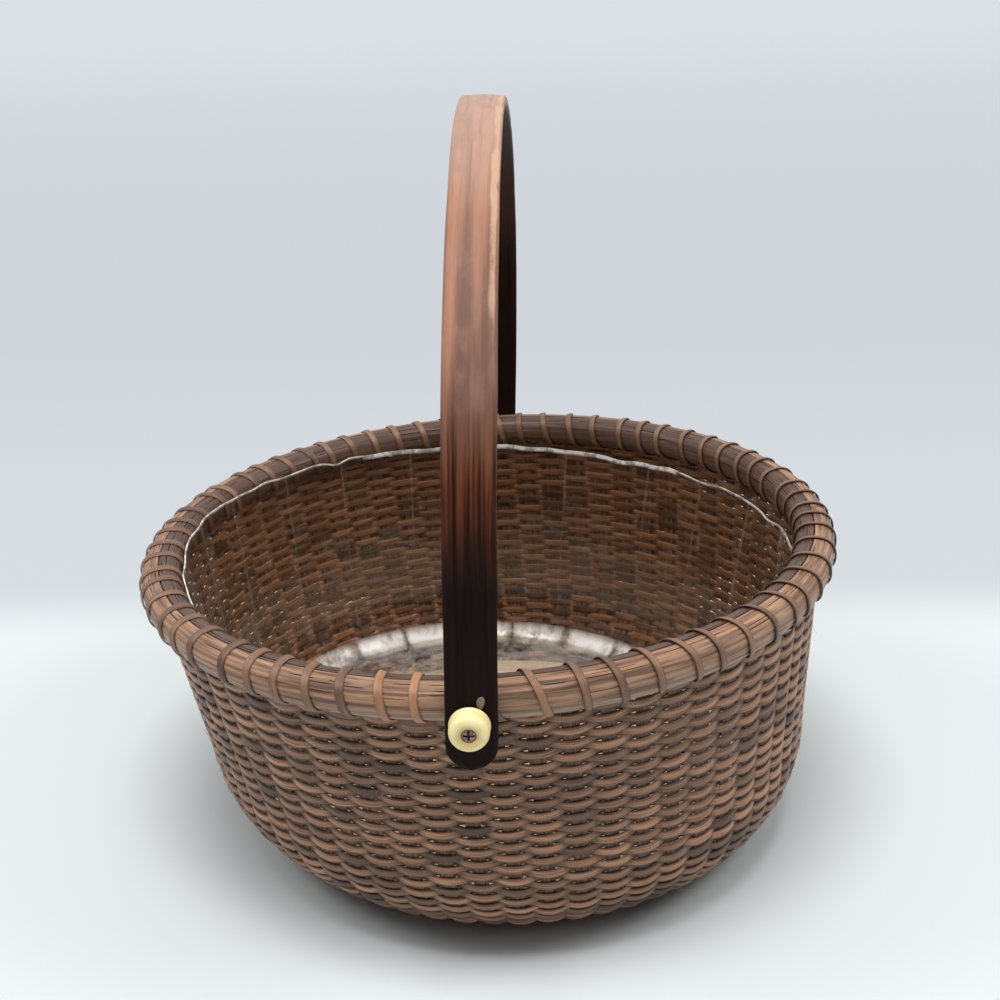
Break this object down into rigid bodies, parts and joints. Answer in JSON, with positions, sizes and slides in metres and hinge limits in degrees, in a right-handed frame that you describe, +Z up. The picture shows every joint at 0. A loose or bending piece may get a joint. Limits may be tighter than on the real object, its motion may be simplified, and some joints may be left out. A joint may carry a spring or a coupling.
{
  "type": "nantucket basket",
  "caption": "Round woven cane basket on a turned wooden base, with a lashed hoop rim, a swinging bent-wood bail on screwed ivory knobs and a lift-out clear liner.",
  "frame": {"origin": "On the surface that the basket stands on, below the middle of the rim and of the hinge line", "axes": "+Z up; the bail turns about Y, with the pictured knob at -Y; the rim rises and the base shifts towards +X"},
  "size_m": [0.3205, 0.3482, 0.3347],
  "materials": {
    "base_wood": "satin",
    "stave_cane": "stained",
    "weaver_cane": "stained",
    "rim_cane": "stained satin",
    "lashing_cane": "stained satin",
    "bail_wood": "worn varnish",
    "knob_ivory": "polished",
    "screw_steel": "dull",
    "liner_clear": "clear gloss"
  },
  "bodies": {
    "basket": {"base_plate": "base_wood", "stave_group_01": "stave_cane", "stave_group_02": "stave_cane", "stave_group_03": "stave_cane", "stave_group_04": "stave_cane", "stave_group_05": "stave_cane", "stave_group_06": "stave_cane", "stave_group_07": "stave_cane", "stave_group_08": "stave_cane", "stave_group_09": "stave_cane", "stave_group_10": "stave_cane", "stave_group_11": "stave_cane", "stave_group_12": "stave_cane", "stave_group_13": "stave_cane", "weaver_outside": "weaver_cane", "weaver_inside": "weaver_cane", "outer_hoop": "rim_cane", "inner_hoop": "rim_cane", "rim_lashing": "lashing_cane", "front_knob": "knob_ivory", "back_knob": "knob_ivory", "front_screw": "screw_steel", "back_screw": "screw_steel"},
    "bail": {"bail_handle": "bail_wood"},
    "liner": {"plastic_liner": "liner_clear"}
  },
  "joints": [
    {"name": "bail_swing", "type": "hinge", "parent": "basket", "child": "bail", "pos_m": [0, 0, 0.1325], "axis": [0, 1, 0], "range_deg": [-125, 125]},
    {"name": "liner_lift", "type": "slide", "parent": "basket", "child": "liner", "axis": [0, 0, 1], "range_m": [0, 0.12]}
  ]
}
